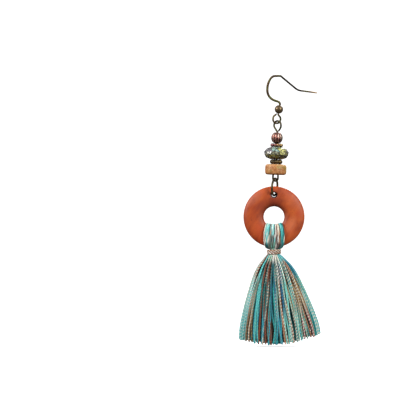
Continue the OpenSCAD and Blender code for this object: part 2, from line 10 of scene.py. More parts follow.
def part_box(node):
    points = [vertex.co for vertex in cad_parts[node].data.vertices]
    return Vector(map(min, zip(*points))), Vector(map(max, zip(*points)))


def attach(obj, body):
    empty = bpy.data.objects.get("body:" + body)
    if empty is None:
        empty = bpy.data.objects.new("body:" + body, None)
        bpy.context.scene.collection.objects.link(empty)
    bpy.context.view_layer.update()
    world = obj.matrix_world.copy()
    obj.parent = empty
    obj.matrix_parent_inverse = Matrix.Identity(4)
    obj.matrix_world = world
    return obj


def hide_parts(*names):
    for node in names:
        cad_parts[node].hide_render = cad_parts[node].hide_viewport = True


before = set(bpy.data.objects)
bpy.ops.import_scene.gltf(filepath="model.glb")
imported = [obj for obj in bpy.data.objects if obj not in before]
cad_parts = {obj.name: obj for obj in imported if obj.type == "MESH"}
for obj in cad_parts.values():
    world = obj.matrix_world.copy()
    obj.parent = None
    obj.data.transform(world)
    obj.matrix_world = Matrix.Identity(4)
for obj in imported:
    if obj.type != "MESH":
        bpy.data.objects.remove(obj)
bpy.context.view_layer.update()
MM = 0.001
UP = Vector((0, 0, 1))


def srgb(code):
    """A colour written as six hex digits, as a linear RGBA."""
    parts = [int(code[i:i + 2], 16) / 255 for i in (0, 2, 4)]
    return tuple(c / 12.92 if c <= 0.04045 else ((c + 0.055) / 1.055) ** 2.4 for c in parts) + (1.0,)


def blend(a, b, share):
    """Colour a where share is 0, and b where it is 1."""
    return tuple(x + (y - x) * share for x, y in zip(a, b))


def eased(x):
    """0 up to 0 and 1 from 1 on, with a smooth rise between them."""
    x = min(1.0, max(0.0, x))
    return x * x * (3 - 2 * x)


# Camera and stage -------------------------------------------------------------------------------------------------
PIXEL = 0.4085 * MM
PICTURE_SIDE = 400
ORIGIN_ACROSS, ORIGIN_DOWN = 278, 76.9  # the pixel of the picture where the origin lies
VIEW_CENTRE = Vector(((PICTURE_SIDE / 2 - ORIGIN_ACROSS) * PIXEL, 0, (ORIGIN_DOWN - PICTURE_SIDE / 2) * PIXEL))
CAMERA_AWAY = 1.2
SENSOR = 36
camera_data = bpy.data.cameras.new("camera")
camera_data.sensor_width = SENSOR
camera_data.lens = SENSOR * CAMERA_AWAY / (PICTURE_SIDE * PIXEL)
camera_data.clip_start = 0.01
camera = bpy.data.objects.new("camera", camera_data)
camera.location = VIEW_CENTRE - Vector((0, CAMERA_AWAY, 0))
camera.rotation_euler = (math.pi / 2, 0, 0)
bpy.context.scene.collection.objects.link(camera)
bpy.context.scene.camera = camera
bpy.context.scene.view_settings.view_transform = "Standard"


# Shader expressions -----------------------------------------------------------------------------------------------
class Value:
    """A socket that carries a number. Arithmetic on it adds Math nodes."""

    def __init__(self, paint, socket):
        self.paint, self.socket = paint, socket

    def math(self, operation, first, second):
        return self.paint.node("Math", {"operation": operation}, {0: first, 1: second})

    def __add__(self, other):
        return self.math("ADD", self, other)

    def __radd__(self, other):
        return self.math("ADD", other, self)

    def __rsub__(self, other):
        return self.math("SUBTRACT", other, self)

    def __mul__(self, other):
        return self.math("MULTIPLY", self, other)

    def __rmul__(self, other):
        return self.math("MULTIPLY", other, self)

    def between(self, low, high):
        """0 at low and 1 at high, eased between them."""
        ends = {"Value": self, "From Min": low, "From Max": high}
        return self.paint.node("MapRange", {"interpolation_type": "SMOOTHSTEP"}, ends)


class Nodes:
    """A node tree, and the nodes that are added to it."""

    def __init__(self, tree):
        self.tree = tree

    def node(self, kind, settings=None, sockets=None, output=0):
        made = self.tree.nodes.new("ShaderNode" + kind)
        for key, value in (settings or {}).items():
            if key == "stops":
                while len(made.color_ramp.elements) < len(value):
                    made.color_ramp.elements.new(1)
                for element, (place, colour) in zip(made.color_ramp.elements, value):
                    element.position, element.color = place, colour
            else:
                setattr(made, key, value)
        for key, value in (sockets or {}).items():
            self.feed(made.inputs[key], value)
        return Value(self, made.outputs[output])

    def feed(self, socket, value):
        if isinstance(value, Value):
            self.tree.links.new(value.socket, socket)
        else:
            socket.default_value = value

    def mix(self, share, a, b):
        """Colour a where share is 0, and b where it is 1."""
        return self.node("Mix", {"data_type": "RGBA"}, {0: share, 6: a, 7: b}, 2)

    def ramp(self, share, stops):
        return self.node("ValToRGB", {"stops": stops}, {0: share})

    def place(self, centre=(0, 0, 0), turn=(0, 0, 0), scale=(1, 1, 1)):
        """Object coordinates, centred, turned and scaled."""
        spot = self.node("TexCoord", output="Object")
        moved = self.node("Mapping", {"vector_type": "TEXTURE"}, {"Vector": spot, "Location": centre, "Rotation": turn})
        return self.node("VectorMath", {"operation": "MULTIPLY"}, {0: moved, 1: scale})

    def noise(self, vector, scale, detail, roughness=0.55):
        sockets = {"Vector": vector, "Scale": scale, "Detail": detail, "Roughness": roughness}
        return self.node("TexNoise", None, sockets, "Fac")


class Paint(Nodes):
    """A material, whose shader its nodes feed."""

    def __init__(self, name, **constants):
        self.material = bpy.data.materials.new(name)
        self.material.use_nodes = True
        super().__init__(self.material.node_tree)
        self.shader = self.tree.nodes["Principled BSDF"]
        for socket, value in constants.items():
            self.shader.inputs[socket.replace("_", " ")].default_value = value

    def set(self, **inputs):
        for socket, value in inputs.items():
            self.feed(self.shader.inputs[socket.replace("_", " ")], value)

    def bump(self, height, strength, distance):
        sockets = {"Height": height, "Strength": strength, "Distance": distance}
        self.set(Normal=self.node("Bump", None, sockets, "Normal"))


# Materials --------------------------------------------------------------------------------------------------------
DROP_TOP = Vector((-0.148, 0, -17.9781)) * MM
DROP_LEAN = math.radians(2.2)
BEAD_DEPTH = {
    "copper_bead": -6.957, "upper_spacer": -9.932, "glass_bead": -13.207, "lower_spacer": -16.732, "wood_bead": -19.907,
}
RING_LOW, RING_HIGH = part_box("wood_ring")
RING_AT = (RING_LOW + RING_HIGH) / 2
HOLE_AT = Vector((-1.6441, 0, -48.1387)) * MM


def bead_middle(node):
    return DROP_TOP + BEAD_DEPTH[node] * MM * Vector((math.sin(DROP_LEAN), 0, math.cos(DROP_LEAN)))


def bead_place(paint, node, scale=(1, 1, 1)):
    """Object coordinates about a bead's own middle, its string along Z."""
    return paint.place(bead_middle(node), (0, DROP_LEAN, 0), scale)


def from_line(paint, spot, across=(1, 1, 0)):
    """Distance from the line that across leaves out."""
    flat = paint.node("VectorMath", {"operation": "MULTIPLY"}, {0: spot, 1: across})
    return paint.node("VectorMath", {"operation": "LENGTH"}, {0: flat}, "Value")


def part_of(paint, spot, axis):
    return paint.node("SeparateXYZ", None, {0: spot}, axis)


def antique_metal(name, tones, scale, rough):
    """Old metal: dark in its pits, brown and olive in patches, and bright where it is rubbed."""
    dark, worn, olive, bright = map(srgb, tones)
    paint = Paint(name, Metallic=0.6, Specular_IOR_Level=0.3)
    spot = paint.place()
    patches = paint.noise(spot, scale, 3.0)
    specks = paint.noise(spot, scale * 5, 2.0)
    colour = paint.ramp(patches, [(0.34, dark), (0.47, worn), (0.56, olive), (0.66, worn)])
    colour = paint.mix(specks.between(0.56, 0.72) * 0.7, colour, bright)
    colour = paint.mix((1 - specks.between(0.3, 0.44)) * 0.6, colour, dark)
    paint.base = colour
    paint.set(Base_Color=colour, Roughness=rough[0] + (rough[1] - rough[0]) * patches)
    paint.bump(specks, 0.3, 0.02 * MM)
    return paint


# The hook's tail is nearly black where it leaves the bend, and lighter towards its tip
hook_bronze = antique_metal("hook_bronze", ("2E2012", "5E4A2E", "56622E", "86744A"), 320.0, (0.42, 0.6))
run = part_of(hook_bronze, hook_bronze.place(), "X")
tail = run.between(0.4 * MM, 1.6 * MM) * (1 - run.between(8 * MM, 12 * MM))
colour = hook_bronze.mix(tail * 0.9, hook_bronze.base, srgb("150E07"))
colour = hook_bronze.mix(run.between(11.5 * MM, 15.5 * MM) * 0.8, colour, srgb("A98450"))
hook_bronze.set(Base_Color=colour)
ball_bronze = antique_metal("ball_bronze", ("3E3020", "6F5B42", "625238", "A8927A"), 420.0, (0.24, 0.36))
pin_bronze = antique_metal("pin_bronze", ("221A0F", "463A24", "4E5730", "7C7450"), 420.0, (0.36, 0.54))
jump_bronze = antique_metal("jump_bronze", ("1E1811", "443A2A", "62592F", "9A8852"), 520.0, (0.34, 0.5))


def grooved_metal(name, node, hollow_r, proud_r, tones):
    """Metal that is dark where it lies near the string and worn bright where it stands proud."""
    hollow, skin, side, shine = map(srgb, tones)
    paint = Paint(name, Metallic=0.85)
    spot = bead_place(paint, node)
    proud = from_line(paint, spot).between(hollow_r * MM, proud_r * MM)
    patches = paint.noise(spot, 700.0, 4.0)
    skin = paint.mix(part_of(paint, spot, "X").between(-1.6 * MM, 1.6 * MM), side, skin)
    colour = paint.mix(proud, hollow, skin)
    colour = paint.mix(patches.between(0.5, 0.66) * proud, colour, shine)
    paint.set(Base_Color=colour, Roughness=0.48 - 0.22 * proud * patches)
    paint.bump(patches, 0.2, 0.02 * MM)
    return paint


worn_copper = grooved_metal("worn_copper", "upper_spacer", 1.9, 2.45, ("1E120C", "8E6C46", "84585A", "B89A66"))
spacer_bronze = grooved_metal("spacer_bronze", "lower_spacer", 1.9, 2.5, ("181008", "554528", "4C4232", "837250"))

copper = Paint("antique_copper", Metallic=0.8)
spot = bead_place(copper, "copper_bead")
proud = copper.node("Attribute", {"attribute_name": "proud"}, None, "Fac")
patches = copper.noise(spot, 620.0, 4.0)
# The ramp's lightest pinks are painted highlights on the copper's lobes
colour = copper.ramp(patches, [
    (0.34, srgb("8C5650")), (0.5, srgb("B88474")), (0.62, srgb("DEB6A6")), (0.74, srgb("F8E4D8")),
])
colour = copper.mix(part_of(copper, spot, "X").between(1.0 * MM, 2.0 * MM) * 0.75, colour, srgb("77806E"))
# Painted shade, partly dark patina: the flutes go nearly black where the bead stands least proud
copper.set(Base_Color=copper.mix(proud.between(0.6, 0.97), srgb("24080C"), colour), Roughness=0.54 - 0.16 * proud)
copper.bump(patches, 0.2, 0.02 * MM)

glass = Paint("mottled_glass", Coat_Roughness=0.14)
spot = bead_place(glass, "glass_bead")
facet = glass.node("Attribute", {"attribute_name": "facet"}, None, "Color")
mottle = glass.noise(spot, 900.0, 5.0, 0.72)
fine = glass.noise(spot, 1700.0, 3.0, 0.6)
web = mottle.between(0.5, 0.56)
base = glass.mix(web * 0.93, facet, srgb("1E180C"))
base = glass.mix((1 - mottle.between(0.34, 0.44)) * 0.6, base, srgb("A79C4C"))
base = glass.mix(fine.between(0.56, 0.66) * 0.55, base, srgb("1E180C"))
specks = glass.noise(spot, 2900.0, 2.0)
base = glass.mix(specks.between(0.6, 0.68) * 0.6, base, srgb("DEDCC4"))
glass.set(Base_Color=base, Roughness=0.2 + 0.45 * web, Coat_Weight=0.3 * (1 - web))
glass.bump(mottle, 0.12, 0.03 * MM)

pale_wood = Paint("pale_wood", Roughness=0.55, Coat_Weight=0.1, Coat_Roughness=0.35)
spot = bead_place(pale_wood, "wood_bead", (1, 1, 0.35))
grain = pale_wood.noise(spot, 900.0, 4.0)
level = bead_place(pale_wood, "wood_bead")
patch = pale_wood.noise(level, 330.0, 3.0)
colour = pale_wood.ramp(grain, [(0.3, srgb("92531F")), (0.5, srgb("AE6E38")), (0.7, srgb("BE844A"))])
colour = pale_wood.mix(patch.between(0.5, 0.6) * 0.65, colour, srgb("94802F"))
# Painted highlight: the bead's top is lighter, towards its upper rim
colour = pale_wood.mix(part_of(pale_wood, level, "Z").between(1.0 * MM, 1.9 * MM) * 0.5, colour, srgb("DDA46C"))
flecks = pale_wood.noise(bead_place(pale_wood, "wood_bead", (0.6, 0.6, 1)), 2600.0, 2.0)
colour = pale_wood.mix(flecks.between(0.56, 0.66) * 0.5, colour, srgb("6E3A16"))
colour = pale_wood.mix((1 - flecks.between(0.34, 0.44)) * 0.5, colour, srgb("E6BE84"))
pale_wood.set(Base_Color=colour)
pale_wood.bump(grain, 0.25, 0.03 * MM)

red_wood = Paint("stained_wood", Specular_IOR_Level=0.35, Coat_Roughness=0.4)


def oval(centre, size, turn):
    """1 in the middle of an oval patch on the ring's face and 0 outside it, in millimetres from the ring's middle."""
    middle = RING_AT + Vector((centre[0], 0, centre[1])) * MM
    spot = red_wood.place(middle, (0, turn, 0), (1 / (size[0] * MM), 0, 1 / (size[1] * MM)))
    return 1 - from_line(red_wood, spot, (1, 0, 1)).between(0.2, 1.0)


# Ovals on the ring's face: painted highlights on the upper-left outer slope, the right inner slope and the upper right,
# painted shade over the top of the eye and on the upper-left inner slope, and lighter orange low on the left and lower
# right. Each: its middle, its size, its turn, how strong it is and its tone
RING_LIGHT_SHADE_AND_TONE_OVALS = [
    ((-7.6, 7.4), (5.4, 2.4), -0.785, 0.5, "A2553E"),
    ((6.7, -3.4), (2.8, 5.4), 0.45, 0.45, "D0754C"),
    ((7.2, 6.4), (5.6, 3.2), 0.83, 0.4, "C6663A"),
    ((0.4, 6.4), (6.4, 2.6), 0.0, 0.6, "762812"),
    ((-5.8, 4.4), (4.4, 2.2), -0.68, 0.65, "842E18"),
    ((-7.6, -4.0), (3.2, 5.0), -0.4, 0.4, "BE5420"),
    ((7.8, -8.0), (4.6, 3.4), -0.8, 0.45, "C65C26"),
]
grain = red_wood.noise(red_wood.place(RING_AT, (0, 0.5, 0), (1, 1, 0.22)), 700.0, 5.0)
spot = red_wood.place(RING_AT)
patch = red_wood.noise(spot, 150.0, 3.0)
stain = red_wood.noise(spot, 75.0, 2.0)
pores = red_wood.noise(red_wood.place(RING_AT, (0, 0.5, 0), (1, 1, 0.4)), 2100.0, 2.0)
colour = red_wood.ramp(grain, [(0.3, srgb("8E330D")), (0.5, srgb("A44010")), (0.7, srgb("B04C16"))])
colour = red_wood.mix(patch.between(0.45, 0.68) * 0.6, colour, srgb("C05A1A"))
colour = red_wood.mix(stain.between(0.5, 0.68) * 0.6, colour, srgb("AC3214"))
# Painted highlights and painted shade, with some orange tone, laid over the wood in ovals
for centre, size, turn, share, tone in RING_LIGHT_SHADE_AND_TONE_OVALS:
    colour = red_wood.mix(oval(centre, size, turn) * share, colour, srgb(tone))
colour = red_wood.mix(pores.between(0.66, 0.74) * 0.6, colour, srgb("5A1E0C"))
# Painted shade: the wood darkens towards the eye, most of all at its top
near_eye = 1 - from_line(red_wood, spot, (1, 0, 1)).between(4.3 * MM, 6.8 * MM)
shaded = 0.35 + 0.45 * part_of(red_wood, spot, "Z").between(-2 * MM, 5 * MM)
colour = red_wood.mix(near_eye * shaded, colour, srgb("581C0C"))
# Painted shade in the drilled hole: a dark ring round its mouth and near black inside the bore, where the wood is also
# rougher and has no coat
from_hole = from_line(red_wood, red_wood.place(HOLE_AT), (1, 0, 1))
painted_hole_shade = 1 - from_hole.between(1.26 * MM, 1.4 * MM)
colour = red_wood.mix((1 - from_hole.between(1.3 * MM, 2.2 * MM)) * 0.35, colour, srgb("4A1A0C"))
colour = red_wood.mix(painted_hole_shade, colour, srgb("0C0604"))
red_wood.set(Base_Color=colour, Roughness=0.5 + 0.14 * patch + 0.3 * painted_hole_shade, Coat_Weight=0.12 * (1 - painted_hole_shade))
red_wood.bump(grain, 0.12, 0.03 * MM)


def thread_paint(name, fibre=0.35):
    """Twisted thread: its colour follows each thread, with painted shade in the groove between the plies, and fine
    fibres run along the plies.
    """
    paint = Paint(name, Roughness=0.78, Sheen_Weight=0.2, Sheen_Roughness=0.4)
    dye = paint.node("Attribute", {"attribute_name": "dye"}, None, "Color")
    lay = paint.node("UVMap", {"uv_map": "lay"})
    stretched = paint.node("VectorMath", {"operation": "MULTIPLY"}, {0: lay, 1: (1.0, 12.0, 1.0)})
    fibres = paint.noise(stretched, 3.0, 3.0, 0.6)
    colour = paint.mix(fibres.between(0.3, 0.7), paint.mix(0.2, dye, (0, 0, 0, 1)), dye)
    paint.set(Base_Color=colour)
    paint.bump(fibres, fibre, 0.06 * MM)
    return paint


strand_thread = thread_paint("skirt_thread")
band_thread = thread_paint("band_thread", 0.25)
tie_thread = thread_paint("tie_thread")


# Pieces made from the solids --------------------------------------------------------------------------------------
def finished(name, bm, paint, body, *nodes):
    """The mesh as a piece that rides on body and stands for nodes."""
    mesh = bpy.data.meshes.new(name)
    bm.to_mesh(mesh)
    bm.free()
    mesh.materials.append(paint.material)
    piece = bpy.data.objects.new(name, mesh)
    bpy.context.scene.collection.objects.link(piece)
    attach(piece, body)
    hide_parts(*nodes)
    return piece


def merged_copy(node):
    bm = bmesh.new()
    bm.from_mesh(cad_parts[node].data)
    bmesh.ops.remove_doubles(bm, verts=bm.verts[:], dist=0.002 * MM)
    return bm


def smooth_copy(name, node, paint, body, angle=35, bm=None):
    """The solid's own form, or the bm made from it, with its round faces shaded smooth."""
    piece = finished(name, bm or merged_copy(node), paint, body, node)
    piece.data.shade_smooth()
    piece.data.set_sharp_from_angle(angle=math.radians(angle))
    return piece


def squared(bm):
    """The swept wire's loose triangles joined again into the four-sided faces it was drawn with."""
    bmesh.ops.join_triangles(
        bm, faces=bm.faces[:], angle_face_threshold=math.radians(40), angle_shape_threshold=math.radians(60))
    return bm


def rounded(piece):
    """The piece with its bends rounded by one level of subdivision."""
    smoother = piece.modifiers.new("round", "SUBSURF")
    smoother.levels = smoother.render_levels = 1
    return piece


def near(spot, middle, reach):
    """1 at the middle, easing to 0 where it is out of reach."""
    return eased(1 - (spot - middle).length / reach)


# The hook's wire is fuller than the solid's, most of all on the front sweep. Its shoulder is rounder, and the
# cut end of its eye closes towards the ball.
SHOULDER, SHOULDER_MOVE = Vector((-3.2, 0, -0.6)) * MM, Vector((0.22, 0, -0.18)) * MM
HOOK_END, HOOK_END_MOVE = Vector((-1.0, 0.7, -15.0)) * MM, Vector((0.42, 0, 0.22)) * MM
FULLER = 0.06
hook_bm = squared(merged_copy("ear_hook"))
hook_bm.normal_update()
for vert in hook_bm.verts:
    normal = vert.normal.copy()
    above_foot, below_bend = eased((vert.co.z + 12 * MM) / (2 * MM)), eased((-vert.co.z - 0.2 * MM) / (2 * MM))
    sweep = above_foot * below_bend * eased((0.4 * MM - vert.co.x) / (1.5 * MM))
    if vert.co.x < -0.3 * MM and vert.co.z < -14 * MM:
        vert.co += HOOK_END_MOVE * near(vert.co, HOOK_END, 1.7 * MM)
    above_eye = eased((vert.co.z + 14.5 * MM) / MM)
    vert.co += SHOULDER_MOVE * near(vert.co, SHOULDER, 3 * MM) + normal * (FULLER * above_eye + FULLER * sweep) * MM
rounded(smooth_copy("hook_wire", "ear_hook", hook_bronze, "hook", 60, hook_bm))
smooth_copy("hook_round_ball", "hook_ball", ball_bronze, "hook")
# The cut end of the pin's eye is pressed in against its stem
PIN_END, PIN_END_MOVE = Vector((0.48, 0.606, -22.07)) * MM, Vector((-0.3, -0.05, -0.27)) * MM
pin_bm = squared(merged_copy("eye_pin"))
for vert in pin_bm.verts:
    if vert.co.x > 0.1 * MM and vert.co.y > 0.05 * MM:
        vert.co += PIN_END_MOVE * near(vert.co, PIN_END, 1.6 * MM)
rounded(smooth_copy("pin_wire", "eye_pin", pin_bronze, "drop", 60, pin_bm))
smooth_copy("copper_spacer", "upper_spacer", worn_copper, "drop")
smooth_copy("bronze_spacer", "lower_spacer", spacer_bronze, "drop")
smooth_copy("wooden_bead", "wood_bead", pale_wood, "drop")
smooth_copy("jump_ring_wire", "jump_ring", jump_bronze, "link")

# The drilled hole was bored from both faces, so it is narrowest halfway through
HOLE_R, HOLE_WAIST_R, HOLE_MOUTH_R = 1.3 * MM, 0.84 * MM, 1.25 * MM
HOLE_HALF_DEPTH = 1.6 * MM
HOLE_CUTS = (-1.3, -0.9, -0.5, -0.2, 0.2, 0.5, 0.9, 1.3)


def from_hole_axis(vert):
    return Vector((vert.co.x - HOLE_AT.x, 0, vert.co.z - HOLE_AT.z))


def on_bore(vert):
    return abs(from_hole_axis(vert).length - HOLE_R) < 0.03 * MM


ring_bm = merged_copy("wood_ring")
for depth in HOLE_CUTS:
    wall = {face for face in ring_bm.faces if all(on_bore(vert) for vert in face.verts)}
    parts = wall | {edge for face in wall for edge in face.edges} | {vert for face in wall for vert in face.verts}
    bmesh.ops.bisect_plane(
        ring_bm, geom=list(parts), dist=0.001 * MM, plane_co=(0, depth * MM, 0), plane_no=(0, 1, 0))
for vert in ring_bm.verts:
    if on_bore(vert):
        deep = min(1.0, abs(vert.co.y) / HOLE_HALF_DEPTH)
        vert.co -= from_hole_axis(vert) * (1 - (HOLE_WAIST_R + (HOLE_MOUTH_R - HOLE_WAIST_R) * deep) / HOLE_R)
smooth_copy("wooden_ring", "wood_ring", red_wood, "pendant", 35, ring_bm)

# The fluted bead keeps how proud each point stands, so that the flutes can carry painted shade, partly dark patina
fluted = smooth_copy("fluted_bead", "copper_bead", copper, "drop", 28)
COPPER_R, COPPER_HALF_H, COPPER_CUT, FLUTE = 2.425 * MM, 2.2 * MM, math.sin(math.radians(62)), 0.42 * MM
proud_layer = fluted.data.attributes.new("proud", "FLOAT", "POINT")
unlean = Matrix.Rotation(-DROP_LEAN, 3, "Y")
for vert in fluted.data.vertices:
    local = unlean @ (vert.co - bead_middle("copper_bead"))
    round_r = math.hypot(local.x, local.y) / math.sqrt(max(0.05, 1 - (local.z * COPPER_CUT / COPPER_HALF_H) ** 2))
    proud_layer.data[vert.index].value = min(1.0, max(0.0, 1 - (COPPER_R - round_r) / FLUTE))

# The cut glass: each facet has a tint of its own inside a dark fired edge
facets = random.Random(11)
GLASS_R, GLASS_HALF_H = 5.05 * MM, 2.5 * MM
GLASS_TINTS = [srgb(c) for c in (
    "C9C4B0", "8E8A9A", "6FB8AE", "C9CC62", "77702F", "5A4A2C", "93A072", "453A22", "8E907C")]
FIRED_EDGE = srgb("211A0E")
LEFT_TINTS = [srgb(c) for c in ("C4C0B0", "858090", "B3AD98", "757280")]


def facet_tint(middle):
    """The tint of a facet whose middle lies here from the bead's own."""
    across, height = middle.x / GLASS_R, middle.z / GLASS_HALF_H
    if middle.y > 0:
        return facets.choice(GLASS_TINTS)
    if abs(across) > 0.82:
        return srgb("5C5A66")
    if height < -0.3:
        return srgb("8C8238" if facets.random() < 0.5 else "4C4223")
    if across < -0.3:
        return facets.choice(LEFT_TINTS)
    if across < 0.12:
        return srgb("8CB0A8" if height > 0.3 else "7C7E68")
    return srgb("8FA048" if height > 0.75 else "E6E48C" if across < 0.6 else "86824A")


bm = merged_copy("glass_bead")
bmesh.ops.dissolve_limit(bm, angle_limit=math.radians(2), verts=bm.verts[:], edges=bm.edges[:])
tint = bm.verts.layers.float_color.new("facet")
for vert in bm.verts:
    vert[tint] = FIRED_EDGE
cut_faces = [face for face in bm.faces if face.calc_area() > 1.2 * MM * MM]
bmesh.ops.inset_individual(bm, faces=cut_faces, thickness=0.24 * MM, use_even_offset=True)
for face in cut_faces:
    colour = facet_tint(unlean @ (face.calc_center_median() - bead_middle("glass_bead")))
    for vert in face.verts:
        vert[tint] = colour
finished("faceted_glass", bm, glass, "drop", "glass_bead")


# Threads ----------------------------------------------------------------------------------------------------------
KNOT_STEPS = 20


def smooth_line(knots, spacing):
    """Points about spacing apart on a smooth line through the knots."""
    ends = [knots[0] * 2 - knots[1], *knots, knots[-1] * 2 - knots[-2]]
    dense = []
    for a, b, c, d in zip(ends, ends[1:], ends[2:], ends[3:]):
        for k in range(KNOT_STEPS):
            t = k / KNOT_STEPS
            bend, swerve = 2 * a - 5 * b + 4 * c - d, 3 * b - a - 3 * c + d
            dense.append(0.5 * (2 * b + (c - a) * t + bend * t * t + swerve * t ** 3))
    dense.append(knots[-1])
    run = [0.0]
    for a, b in zip(dense, dense[1:]):
        run.append(run[-1] + (b - a).length)
    count = max(4, round(run[-1] / spacing))
    points, k = [], 0
    for i in range(count + 1):
        goal = run[-1] * i / count
        while k < len(run) - 2 and run[k + 1] < goal:
            k += 1
        points.append(dense[k].lerp(dense[k + 1], (goal - run[k]) / max(run[k + 1] - run[k], 1e-12)))
    return points


def lay_thread(bm, points, thick, dyes, pitch, waist, around, first_turn=0.0, width=None):
    """One thread of two plies twisted together, laid along the points. dyes(t) gives the two plies' colours, and each
    ply is painted with shade towards the groove between them.
    """
    uv, dye = bm.loops.layers.uv["lay"], bm.verts.layers.float_color["dye"]
    rows = len(points) - 1
    before = points[1] - points[0]
    side = before.orthogonal().normalized()
    frames, run = [], 0.0
    for i, point in enumerate(points):
        way = (points[min(i + 1, rows)] - points[max(i - 1, 0)]).normalized()
        side = (side - way * side.dot(way)).normalized()
        frames.append((point, side, way.cross(side), run))
        if i < rows:
            run += (points[i + 1] - point).length
    grid = bmesh.ops.create_grid(bm, x_segments=rows, y_segments=around, size=0.5)["verts"]
    rings = {}
    for vert in grid:
        row, col = round((vert.co.x + 0.5) * rows), round((vert.co.y + 0.5) * around)
        turn = 2 * math.pi * (col % around) / around
        point, first, second, far = frames[row]
        t = row / rows
        lobe = abs(math.cos(turn))
        r = thick / 2 * (waist + (1 - waist) * lobe) * (width(t) if width else 1.0)
        twist = turn + first_turn + 2 * math.pi * far / pitch
        vert.co = point + r * (math.cos(twist) * first + math.sin(twist) * second)
        a, b = dyes(t)
        colour = a if math.cos(turn) > 0.01 else b if math.cos(turn) < -0.01 else blend(a, b, 0.5)
        # Painted shade: each ply darkens towards the groove between the plies
        shade = 0.64 + 0.36 * lobe if waist < 0.8 else 0.7 + 0.3 * lobe
        vert[dye] = (colour[0] * shade, colour[1] * shade, colour[2] * shade, 1.0)
        rings[vert] = (far / (0.5 * MM), col / around)
    for face in {face for vert in grid for face in vert.link_faces}:
        for loop in face.loops:
            loop[uv].uv = rings[loop.vert]
    bmesh.ops.remove_doubles(bm, verts=grid, dist=0.001 * MM)


def thread_mesh():
    bm = bmesh.new()
    bm.loops.layers.uv.new("lay")
    bm.verts.layers.float_color.new("dye")
    return bm


def thread_piece(name, bm, paint, body, *nodes):
    """The laid threads with their ends closed."""
    bmesh.ops.holes_fill(bm, edges=[e for e in bm.edges if e.is_boundary], sides=0)
    bmesh.ops.recalc_face_normals(bm, faces=bm.faces[:])
    piece = finished(name, bm, paint, body, *nodes)
    piece.data.shade_smooth()
    return piece


DYES = {name: srgb(code) for name, code in {
    "white": "F7F4EA", "cream": "E8E0CA", "tan": "CDA27C", "gold": "AE8E4A", "rust": "9A4E2A", "brown": "5E2E1C",
    "mauve": "8C8A8A", "taupe": "7A8474", "aqua": "7FE0DC", "turq": "2EBFBE", "sea": "86D2BC", "teal": "1C8686",
    "deep": "125450", "blue": "2A80AE", "navy": "1C4258", "rose": "A8405E", "pink": "E6BE9E",
}.items()}


def dyed(plan, deep=0.0, stops=None):
    """Colours along a thread, from words such as "rust/aqua turq": a word for each stretch or stop, and a slash
    between the colours of two plies. deep is painted shade: it darkens the colours towards the deep teal, for threads
    that lie further in."""
    stretches = []
    for word in plan.split():
        plies = [DYES[part] for part in word.split("/")]
        if len(plies) == 1:
            plies = [blend(plies[0], DYES["white"], 0.14), blend(plies[0], DYES["deep"], 0.14)]
        shared = 0.08 if "white" in word or "cream" in word else 0.2
        plies = [blend(plies[0], plies[1], shared), blend(plies[1], plies[0], shared)]
        stretches.append([blend(ply, DYES["deep"], deep) for ply in plies])

    def colours(t):
        if stops:
            place = sum(min(1.0, max(0.0, (t - a) / (b - a))) for a, b in zip(stops, stops[1:]))
        else:
            place = t * (len(stretches) - 1)
        k = min(int(place), len(stretches) - 2) if len(stretches) > 1 else 0
        share = eased((place - k - 0.25) / 0.5)
        after = stretches[min(k + 1, len(stretches) - 1)]
        return [blend(a, b, share) for a, b in zip(stretches[k], after)]

    return colours


TIE_LOW, TIE_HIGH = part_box("tassel_tie")
NECK_X = (TIE_LOW.x + TIE_HIGH.x) / 2
# Shares of the skirt's length, width and depth, from the tie down to the hem
SKIRT_LINE = [
    (0, 0.19, 0.3), (0.06, 0.3, 0.39), (0.14, 0.43, 0.48), (0.26, 0.56, 0.58), (0.42, 0.69, 0.7), (0.62, 0.83, 0.84),
    (0.86, 0.965, 0.97), (1, 1, 1),
]
SKIRT_TOP = TIE_LOW.z - 0.15 * MM
SKIRT_L, SKIRT_W, SKIRT_T, SKIRT_SHIFT = 36.3 * MM, 33.6 * MM, 20 * MM, 2.4 * MM
STRAND_D = 0.72 * MM
# The yarns that the front of the skirt mixes, each list up to this share of the way across
FRONT_YARNS = [
    (0.06, [
        "rust cream/rust aqua/white aqua",
        "rust/brown rust/taupe cream/pink aqua/turq",
        "aqua cream/aqua aqua turq/white",
    ]),
    (0.14, [
        "rust turq pink/rust rust/taupe",
        "aqua turq/aqua taupe cream/tan",
        "turq turq taupe/sea gold/brown",
    ]),
    (0.24, [
        "aqua aqua/turq turq/teal turq/blue",
        "rust/tan teal/sea turq mauve/brown",
        "tan teal turq/aqua sea/turq",
    ]),
    (0.36, [
        "cream/sea rust cream/teal cream/pink",
        "sea/cream rust/brown rust/deep brown/rust",
        "sea cream/teal teal/deep turq/blue",
    ]),
    (0.44, [
        "sea/white blue/deep turq/teal teal",
        "white navy/teal blue/deep teal/turq",
        "teal/sea deep navy/deep rust/brown",
    ]),
    (0.53, [
        "white white/deep teal/sea teal/sea",
        "white cream/teal mauve/sea blue/turq",
        "white white/sea cream/teal teal/mauve",
    ]),
    (0.62, [
        "white deep/cream rust/gold rust/tan",
        "white/cream deep/white cream/rust cream/rust",
        "white/sea white/deep navy/blue aqua/sea",
    ]),
    (0.74, [
        "white/cream white/sea sea/aqua turq/cream",
        "cream/sea blue/white sea/cream brown/cream",
        "cream/sea blue/cream teal/cream gold/cream",
    ]),
    (0.82, [
        "rust/tan teal/white rust/cream white/cream",
        "aqua teal/cream turq/cream teal/aqua",
        "rust/brown rust/tan gold/brown sea/cream",
    ]),
    (0.92, [
        "turq rust rust/gold rust/tan",
        "aqua rust/tan gold/cream cream/rose",
        "turq/blue rust/cream brown/cream aqua/gold",
    ]),
    (1.01, [
        "turq/blue teal/blue sea/teal cream/turq",
        "aqua blue/turq cream/aqua turq/teal",
        "aqua turq/aqua turq/cream aqua/white",
    ]),
]
